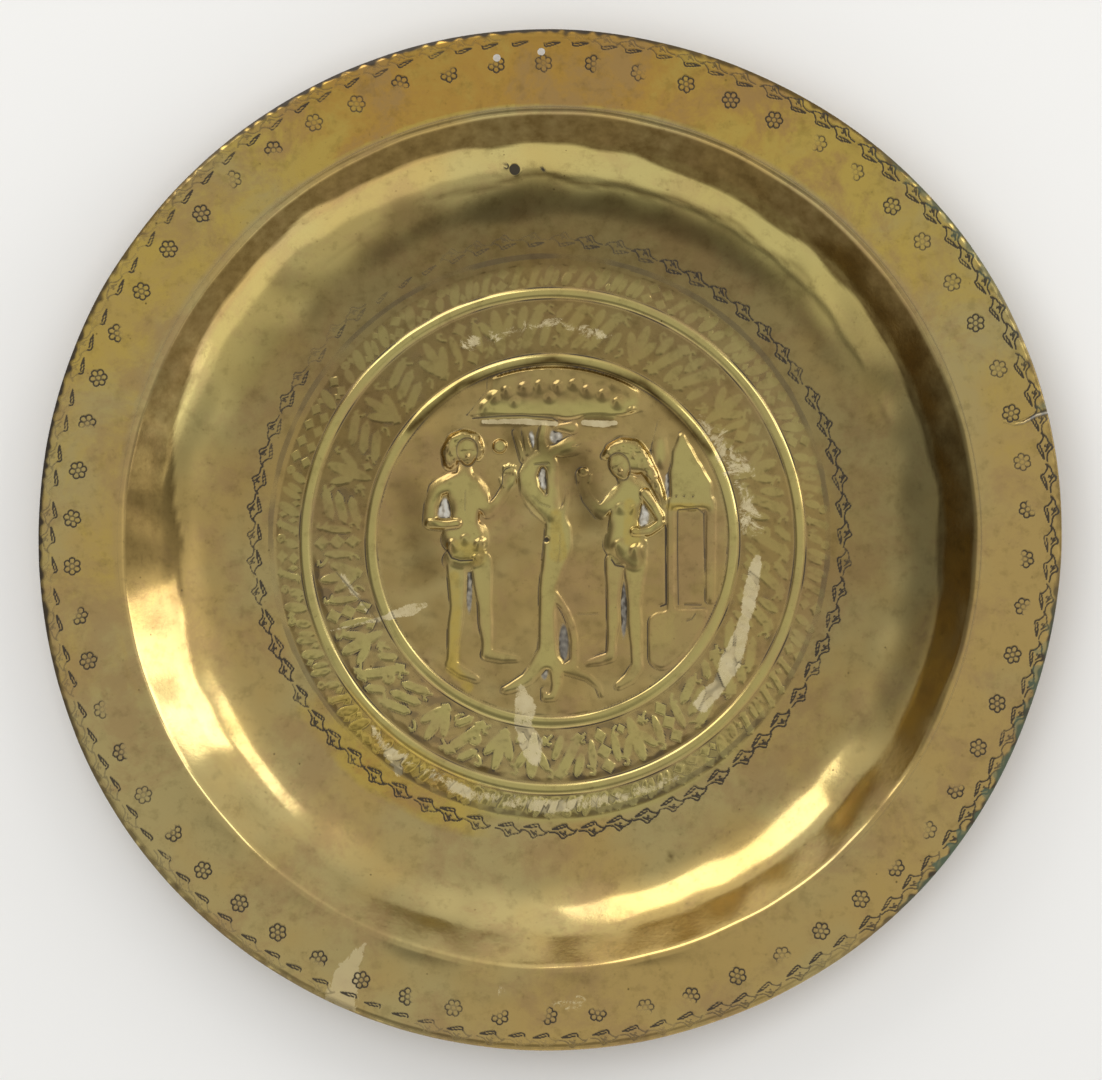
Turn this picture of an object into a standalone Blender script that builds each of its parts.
"""A brass alms dish: one beaten sheet with a wide rim, a deep well and a raised medallion.

The dish lies on its underside. The origin is the middle of the bottom of its bounding box,
+Z points up out of the well, and +Y points to the two hanging holes in the rim.
"""
import math

import bmesh
import bpy
from mathutils import Vector

MM = 0.001

# The sheet and the turned profile. Heights are of the upper face of the sheet.
SHEET = 1.0 * MM
OUTER_RADIUS = 200.0 * MM
LIP_WIDTH = 3.0 * MM
LIP_DROP = 1.0 * MM
RIM_FALL = 0.6 * MM            # how far the rim sinks from its lip to the fold
RIM_SAG = 0.2 * MM             # and to its middle
FOLD_RADIUS = 168.5 * MM       # where the rim turns down into the well
FOLD_BEND = 4.0 * MM
WALL_SLOPE = math.radians(44.0)
CAVETTO_BEND = 45.0 * MM       # the wide bend from the wall down to the floor
FOOT_INNER = 108.0 * MM        # the flat ring on which the dish rests
FOOT_OUTER = 123.5 * MM
BAND_RISE = 0.8 * MM           # the lettered bands lie this much above the foot ring
FIELD_RISE = 1.2 * MM          # and the middle field this much
BEADS = ((97.4 * MM, 2.1 * MM), (71.3 * MM, 2.2 * MM))    # radius and half width
BEAD_RISE = 1.5 * MM
BEAD_CROWN = 0.45              # the flat top of a bead, as a share of its half width
TURN_STEPS = 72

# The outline isn't quite round: (bearing in degrees, width in degrees, swelling) of each flaw.
OUTLINE_FLAWS = (
    (20.0, 18.0, 1.3 * MM),
    (150.0, 22.0, 0.7 * MM),
    (182.0, 14.0, -0.9 * MM),
    (70.0, 14.0, -0.9 * MM),
    (245.0, 24.0, -1.1 * MM),
    (290.0, 20.0, -1.1 * MM),
    (340.0, 10.0, -0.7 * MM),
)
FLAW_START = 150.0 * MM        # inside this radius the turning is true

# The two hanging holes: (bearing in degrees, distance from the middle).
HOLE_RADIUS = 1.5 * MM
HOLES = ((95.9, 189.2 * MM), (90.6, 190.6 * MM))
HOLE_SIDES = 12
HOLE_CUT = 90.0 * MM           # the length of the cutter, well over the height of the dish

# The raised scene. A swelling is the hull of low domes: (x, y, radius, rise), all in
# millimetres from the middle of the field.
DOME_SIDES = 6
DOME_SHOULDER = (0.68, 0.72)   # radius and rise of a dome's middle ring, as shares
DOME_ROOT = 0.5 * MM           # how deep a swelling is let into the sheet

ADAM = {
    "hair": ((-38.0, 37.5, 4.6, 1.7), (-32.5, 38.8, 4.2, 1.7), (-39.8, 32.5, 3.2, 1.3)),
    "head": ((-34.2, 36.0, 4.2, 2.6), (-34.0, 32.8, 3.2, 2.3)),
    "neck": ((-34.6, 30.5, 2.2, 1.7), (-35.4, 24.0, 2.8, 1.7)),
    "chest": ((-41.0, 21.5, 4.2, 1.8), (-30.5, 21.5, 4.2, 1.8), (-35.5, 9.5, 4.6, 1.8)),
    "hips": ((-37.0, -1.0, 5.4, 2.0), (-30.0, -2.0, 5.2, 2.2), (-34.5, 9.0, 4.0, 1.8)),
    "upper_arm_out": ((-44.0, 21.0, 2.6, 1.6), (-48.0, 8.5, 2.0, 1.4)),
    "forearm_out": ((-48.0, 7.3, 1.9, 1.4), (-38.0, 6.8, 1.9, 1.8)),
    "upper_arm_in": ((-27.8, 21.5, 2.6, 1.6), (-24.6, 11.5, 1.8, 1.4)),
    "forearm_in": ((-24.0, 10.8, 1.8, 1.4), (-17.5, 22.0, 1.8, 1.5)),
    "hand_in": ((-16.6, 22.5, 2.4, 1.5), (-16.6, 27.0, 2.0, 1.4)),
    "thigh_out": ((-38.2, -5.0, 4.0, 1.8), (-38.2, -25.0, 2.6, 1.7)),
    "shin_out": ((-38.3, -26.0, 2.7, 1.7), (-39.4, -48.0, 1.9, 1.4)),
    "foot_out": ((-39.8, -49.0, 2.6, 1.4), (-30.5, -54.5, 2.0, 1.1)),
    "thigh_in": ((-28.0, -5.0, 3.8, 1.8), (-26.4, -26.0, 2.5, 1.6)),
    "shin_in": ((-26.3, -27.0, 2.6, 1.6), (-25.8, -45.0, 1.8, 1.4)),
    "foot_in": ((-25.0, -46.5, 2.2, 1.3), (-16.0, -46.8, 1.7, 1.1)),
}
EVE = {
    "hair": ((29.0, 37.0, 3.8, 1.8), (33.5, 32.5, 3.8, 1.8), (27.0, 31.5, 3.4, 1.6)),
    "tress": ((33.0, 35.0, 3.4, 1.6), (42.0, 21.0, 2.0, 1.1)),
    "head": ((27.0, 34.0, 3.8, 2.6), (26.5, 30.8, 2.8, 2.3)),
    "neck": ((27.4, 29.5, 2.0, 1.7), (30.6, 24.0, 2.6, 1.7)),
    "chest": ((29.5, 21.5, 4.2, 2.0), (36.0, 19.5, 3.6, 1.7), (28.5, 9.5, 4.4, 2.0)),
    "hips": ((26.0, 3.0, 5.0, 2.3), (32.0, -1.0, 4.8, 2.1), (27.0, -6.5, 3.6, 2.0)),
    "upper_arm_out": ((25.5, 19.5, 2.0, 1.5), (18.8, 11.6, 1.8, 1.3)),
    "forearm_out": ((18.2, 11.0, 1.8, 1.3), (12.8, 20.5, 1.6, 1.4)),
    "hand_out": ((11.8, 22.5, 2.2, 1.5), (11.6, 25.5, 2.0, 1.5)),
    "upper_arm_in": ((38.5, 19.0, 2.2, 1.5), (43.8, 8.0, 1.8, 1.3)),
    "forearm_in": ((43.8, 6.5, 1.8, 1.3), (35.0, 3.0, 1.9, 1.7)),
    "thigh_out": ((25.0, -7.0, 3.4, 1.7), (23.6, -27.0, 2.4, 1.6)),
    "shin_out": ((23.6, -28.0, 2.4, 1.6), (23.0, -45.5, 1.8, 1.4)),
    "foot_out": ((22.6, -46.5, 2.0, 1.2), (13.5, -48.0, 1.5, 1.0)),
    "thigh_in": ((32.4, -6.0, 4.0, 1.8), (32.6, -28.0, 2.6, 1.7)),
    "shin_in": ((32.6, -29.0, 2.7, 1.7), (33.2, -50.0, 2.0, 1.4)),
    "foot_in": ((32.8, -51.0, 2.6, 1.4), (22.5, -56.0, 1.8, 1.1)),
}
TREE = {
    "crown_left": ((-28.0, 56.5, 4.6, 1.4), (-8.0, 60.5, 5.0, 2.2), (-24.0, 51.5, 2.6, 1.4),
                   (-6.0, 50.5, 3.2, 2.0)),
    "crown_right": ((-8.0, 60.5, 5.0, 2.2), (8.0, 60.5, 5.0, 2.2), (28.0, 57.0, 4.6, 1.4),
                    (8.0, 49.5, 3.0, 2.0), (24.0, 51.5, 2.6, 1.4)),
    "serpent_coil": ((-4.5, 30.0, 5.4, 1.9), (-3.0, 14.0, 5.8, 2.0)),
    "trunk_top": ((0.5, 15.0, 2.6, 1.5), (3.6, 2.0, 4.0, 1.7)),
    "trunk_middle": ((3.2, 1.0, 4.2, 1.7), (-1.2, -21.0, 2.8, 1.6)),
    "trunk_foot": ((-1.2, -22.0, 2.8, 1.6), (-0.4, -50.0, 4.0, 1.7)),
    "root_left": ((-3.0, -50.0, 2.6, 1.5), (-16.0, -59.5, 1.8, 1.1)),
    "root_right": ((4.0, -46.0, 2.2, 1.5), (17.0, -58.5, 1.8, 1.1)),
    "root_down": ((-0.5, -50.0, 2.4, 1.5), (1.0, -61.0, 1.8, 1.1)),
    "serpent_neck": ((-1.5, 35.5, 2.0, 1.6), (5.0, 36.5, 2.0, 1.8)),
    "serpent_head": ((5.0, 36.5, 2.6, 2.0), (11.5, 36.8, 1.6, 1.5)),
    "fruit": ((-20.4, 36.9, 3.4, 1.6),),
}
GATE = {
    "cypress_small": ((43.2, 41.5, 0.9, 0.9), (43.0, 33.0, 3.2, 1.3), (45.5, 29.0, 1.4, 1.0)),
    "cypress_large": ((54.5, 36.5, 1.0, 0.9), (51.5, 20.0, 5.6, 1.3), (60.0, 18.0, 1.4, 0.9)),
    "post_left": ((47.6, 13.0, 1.7, 1.2), (47.6, -25.0, 1.7, 1.2)),
    "post_right": ((61.3, 12.0, 1.7, 1.2), (60.8, -24.0, 1.7, 1.2)),
    "sill": ((48.0, -26.8, 1.6, 1.1), (59.0, -26.2, 1.6, 1.1)),
    "lintel": ((48.0, 13.2, 1.6, 1.1), (60.8, 13.6, 1.6, 1.1)),
    "mound": ((41.0, -32.0, 3.2, 1.2), (58.0, -29.5, 2.4, 1.0), (44.5, -46.5, 3.0, 1.1)),
}


def bend(points, radius, slope_from, slope_to, steps):
    """Carry a profile outwards from its last point along an arc between two slopes."""
    r, z = points[-1]
    turn = radius if slope_to > slope_from else -radius
    for step in range(1, steps + 1):
        slope = slope_from + (slope_to - slope_from) * step / steps
        across = turn * (math.sin(slope) - math.sin(slope_from))
        up = turn * (math.cos(slope_from) - math.cos(slope))
        points.append((r + across, z + up))


def bead(radius, half_width, ground):
    """A raised round moulding, from its inner foot over its crown to its outer foot."""
    crown = BEAD_CROWN * half_width
    return [
        (radius - half_width, ground),
        (radius - crown, ground + BEAD_RISE),
        (radius + crown, ground + BEAD_RISE),
        (radius + half_width, ground),
    ]


def profile():
    """The upper face of the sheet, from the lip down the wall and in to the middle."""
    outer_bead, inner_bead = BEADS
    points = [(0.0, SHEET + FIELD_RISE), (0.5 * inner_bead[0], SHEET + FIELD_RISE)]
    points += bead(*inner_bead, SHEET + FIELD_RISE)
    points += bead(*outer_bead, SHEET + BAND_RISE)
    points += [(FOOT_INNER, SHEET), (FOOT_OUTER, SHEET)]
    bend(points, CAVETTO_BEND, 0.0, WALL_SLOPE, 6)
    wall_foot_r, wall_foot_z = points[-1]
    wall_top_r = FOLD_RADIUS - FOLD_BEND * math.sin(WALL_SLOPE)
    wall_rise = (wall_top_r - wall_foot_r) * math.tan(WALL_SLOPE)
    points.append((wall_top_r, wall_foot_z + wall_rise))
    bend(points, FOLD_BEND, WALL_SLOPE, 0.0, 3)
    rim = points[-1][1] + RIM_FALL
    points.append((0.5 * (OUTER_RADIUS + FOLD_RADIUS), rim - RIM_SAG))
    points.append((OUTER_RADIUS - LIP_WIDTH, rim))
    points.append((OUTER_RADIUS, rim - LIP_DROP))
    return points[::-1]


def outline_flaw(bearing):
    """How far the beaten edge stands outside a true circle at a bearing in degrees."""
    swelling = 0.0
    for centre, width, amount in OUTLINE_FLAWS:
        away = (bearing - centre + 180.0) % 360.0 - 180.0
        swelling += amount * math.exp(-0.5 * (away / width) ** 2)
    return swelling


def collection(name):
    """A new collection in the scene."""
    made = bpy.data.collections.new(name)
    bpy.context.scene.collection.children.link(made)
    return made


def brass():
    """Old brass with a thin olive tarnish."""
    material = bpy.data.materials.new("old_brass")
    material.use_nodes = True
    shader = material.node_tree.nodes["Principled BSDF"]
    shader.inputs["Base Color"].default_value = (0.46, 0.34, 0.12, 1.0)
    shader.inputs["Roughness"].default_value = 0.34
    shader.inputs["Metallic"].default_value = 1.0
    return material


def place(name, mesh, group):
    """Put a mesh in the scene as an object of a collection."""
    thing = bpy.data.objects.new(name, mesh)
    group.objects.link(thing)
    return thing


def evaluated_mesh(thing):
    """The mesh of an object with its modifiers applied."""
    graph = bpy.context.evaluated_depsgraph_get()
    return bpy.data.meshes.new_from_object(thing.evaluated_get(graph))


def rim_share(point):
    """How much a point of the sheet takes part in the rim's flaws: 0 in the well, 1 at the lip."""
    radius = math.hypot(point.x, point.y)
    return max(0.0, (radius - FLAW_START) / (OUTER_RADIUS - FLAW_START)) ** 2


def beat_outline(sheet):
    """Swell and dent the rim, and keep the box of its outline centred on the turning axis."""
    shares = [rim_share(vertex.co) for vertex in sheet.vertices]
    for vertex, share in zip(sheet.vertices, shares):
        if share > 0.0:
            bearing = math.degrees(math.atan2(vertex.co.y, vertex.co.x))
            stretch = share * outline_flaw(bearing) / math.hypot(vertex.co.x, vertex.co.y)
            vertex.co.x *= 1.0 + stretch
            vertex.co.y *= 1.0 + stretch
    across = [vertex.co.x for vertex in sheet.vertices]
    along = [vertex.co.y for vertex in sheet.vertices]
    shift_x = -0.5 * (min(across) + max(across))
    shift_y = -0.5 * (min(along) + max(along))
    for vertex, share in zip(sheet.vertices, shares):
        vertex.co.x += share * shift_x
        vertex.co.y += share * shift_y


def turned_sheet(group):
    """The open upper face of the dish, turned from its profile and beaten a little out of true."""
    mesh = bpy.data.meshes.new("profile")
    points = profile()
    edges = [(index, index + 1) for index in range(len(points) - 1)]
    mesh.from_pydata([(r, 0.0, z) for r, z in points], edges, [])
    line = place("profile", mesh, group)
    screw = line.modifiers.new("turn", "SCREW")
    screw.axis = "Z"
    screw.steps = TURN_STEPS
    screw.render_steps = TURN_STEPS
    screw.use_merge_vertices = True
    screw.merge_threshold = 0.00001
    screw.use_smooth_shade = True
    sheet = evaluated_mesh(line)
    bpy.data.objects.remove(line)
    beat_outline(sheet)
    return sheet


def dome_points(x, y, radius, rise, ground):
    """The points of one low dome that stands in the sheet."""
    shoulder_r, shoulder_z = DOME_SHOULDER
    levels = (
        (radius, ground - DOME_ROOT),
        (radius, ground),
        (shoulder_r * radius, ground + shoulder_z * rise),
    )
    points = []
    for level, (ring, z) in enumerate(levels):
        for side in range(DOME_SIDES):
            angle = 2.0 * math.pi * (side + 0.5 * (level == 2)) / DOME_SIDES
            points.append(Vector((x + ring * math.cos(angle), y + ring * math.sin(angle), z)))
    points.append(Vector((x, y, ground + rise)))
    return points


def swelling(name, domes, ground, group):
    """A raised form with a flat base: the hull of a few low domes, given in millimetres."""
    cage = bmesh.new()
    for x, y, radius, rise in domes:
        for point in dome_points(x * MM, y * MM, radius * MM, rise * MM, ground):
            cage.verts.new(point)
    hull = bmesh.ops.convex_hull(cage, input=cage.verts)
    spare = [part for part in hull["geom_interior"] if isinstance(part, bmesh.types.BMVert)]
    bmesh.ops.delete(cage, geom=spare, context="VERTS")
    bmesh.ops.recalc_face_normals(cage, faces=cage.faces)
    mesh = bpy.data.meshes.new(name)
    cage.to_mesh(mesh)
    cage.free()
    form = place(name, mesh, group)
    form.hide_render = True
    form.display_type = "WIRE"
    return form


def boolean(target, tool, operation):
    """Join or cut one object with another, by an exact Boolean that stays on the target."""
    modifier = target.modifiers.new(operation.lower() + "_" + tool.name, "BOOLEAN")
    modifier.operation = operation
    modifier.solver = "EXACT"
    modifier.object = tool


def raised_scene(group):
    """The two figures, the tree with the serpent, and the gate, joined into one form."""
    ground = SHEET + FIELD_RISE
    forms = []
    for figure, swellings in (("adam", ADAM), ("eve", EVE), ("tree", TREE), ("gate", GATE)):
        for part, domes in swellings.items():
            forms.append(swelling(figure + "_" + part, domes, ground, group))
    whole = forms[0]
    for form in forms[1:]:
        boolean(whole, form, "UNION")
    return whole


def hanging_hole(index, bearing, distance, group):
    """A cutter for one hole through the rim."""
    cutter_mesh = bpy.data.meshes.new("hole_%d" % index)
    pin = bmesh.new()
    bmesh.ops.create_cone(pin, cap_ends=True, segments=HOLE_SIDES, radius1=HOLE_RADIUS,
                          radius2=HOLE_RADIUS, depth=HOLE_CUT)
    pin.to_mesh(cutter_mesh)
    pin.free()
    cutter = place(cutter_mesh.name, cutter_mesh, group)
    angle = math.radians(bearing)
    cutter.location = (distance * math.cos(angle), distance * math.sin(angle), 0.5 * HOLE_CUT)
    cutter.hide_render = True
    cutter.display_type = "WIRE"
    return cutter


def build_dish():
    """The dish: a sheet of even thickness, with its raised scene and its two holes."""
    parts = collection("alms_dish")
    tools = collection("cutters")
    sheet = turned_sheet(parts)
    dish = place("dish", sheet, parts)
    dish.data.materials.append(brass())
    shell = dish.modifiers.new("thickness", "SOLIDIFY")
    shell.thickness = SHEET
    shell.offset = 1.0         # the turned face is the upper one, and its normals point down
    shell.use_even_offset = True
    boolean(dish, raised_scene(tools), "UNION")
    for index, (bearing, distance) in enumerate(HOLES):
        boolean(dish, hanging_hole(index, bearing, distance, tools), "DIFFERENCE")
    dish.data.shade_smooth()
    dish.data.set_sharp_from_angle(angle=math.radians(40.0))
    return dish


for old in list(bpy.data.objects):
    bpy.data.objects.remove(old)
build_dish()
